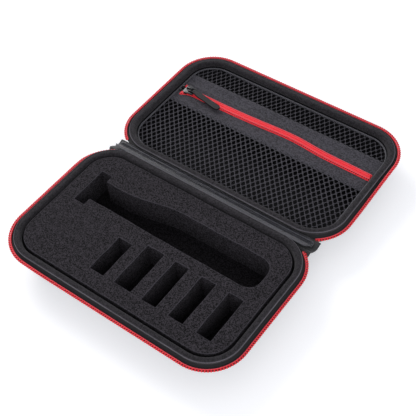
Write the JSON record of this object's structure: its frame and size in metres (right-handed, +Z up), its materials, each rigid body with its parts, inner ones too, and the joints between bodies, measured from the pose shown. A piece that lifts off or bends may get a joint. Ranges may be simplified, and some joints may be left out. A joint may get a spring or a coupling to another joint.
{
  "type": "electric shaver case",
  "caption": "Zipped hard case lying open: moulded base with die-cut foam for a shaver and its attachments, lid with a net pocket, red zipper teeth.",
  "frame": {"origin": "on the table, under the middle of the open case", "axes": "+X along the fabric hinge towards the end of the shaver's handle, +Y from the base to the lid, +Z up from the table"},
  "size_m": [0.2206, 0.2802, 0.033],
  "materials": {
    "moulded_shell": "textile film over moulded foam, satin",
    "lining": "brushed tricot, satin",
    "binding": "knitted tape, matte",
    "zipper_tape": "woven tape, matte",
    "zipper_teeth": "nylon coil, satin",
    "foam": "die-cut closed-cell foam, matte",
    "hinge_cloth": "coated fabric, satin",
    "net": "knitted mesh, matte",
    "piping": "corded edging, satin",
    "metal": "black, semi-gloss",
    "grip_rubber": "moulded rubber, matte"
  },
  "bodies": {
    "base": {"base_shell": "moulded_shell", "base_lining": "lining", "base_rim_binding": "binding", "base_zipper_tape": "zipper_tape", "base_zipper_coil": "zipper_teeth", "foam_insert": "foam", "foam_floor_sheet": "foam", "hinge_outer_strip": "moulded_shell", "hinge_inner_strip": "hinge_cloth", "zipper_end_tab": "zipper_tape", "main_slider": "metal"},
    "lid": {"lid_shell": "moulded_shell", "lid_lining": "lining", "lid_rim_binding": "binding", "lid_zipper_tape": "zipper_tape", "lid_zipper_coil": "zipper_teeth", "pocket_net_far": "net", "pocket_net_near": "net", "pocket_tape_far": "zipper_tape", "pocket_tape_near": "zipper_tape", "pocket_coil_far": "zipper_teeth", "pocket_coil_near": "zipper_teeth", "pocket_piping": "piping", "pocket_zip_stops": "metal"},
    "pocket_slider_body": {"pocket_slider": "metal"},
    "pocket_puller_body": {"pocket_puller_link": "metal", "pocket_puller_grip": "grip_rubber"},
    "main_puller_body": {"main_puller": "metal"}
  },
  "joints": [
    {"name": "lid_hinge", "type": "hinge", "parent": "base", "child": "lid", "pos_m": [0, 0, 0.031], "axis": [1, 0, 0], "range_deg": [0, 180], "deforming": ["hinge_outer_strip", "hinge_inner_strip", "pocket_puller_grip"]},
    {"name": "pocket_slide", "type": "slide", "parent": "lid", "child": "pocket_slider_body", "axis": [1, 0, 0], "range_m": [0, 0.147]},
    {"name": "pocket_puller_swing", "type": "hinge", "parent": "pocket_slider_body", "child": "pocket_puller_body", "pos_m": [-0.08761, 0.0888, 0.02545], "axis": [0, -1, 0], "range_deg": [0, 120]},
    {"name": "main_puller_swing", "type": "hinge", "parent": "base", "child": "main_puller_body", "pos_m": [-0.0918, 0, 0.01604], "axis": [0, 1, 0], "range_deg": [0, 100]}
  ]
}
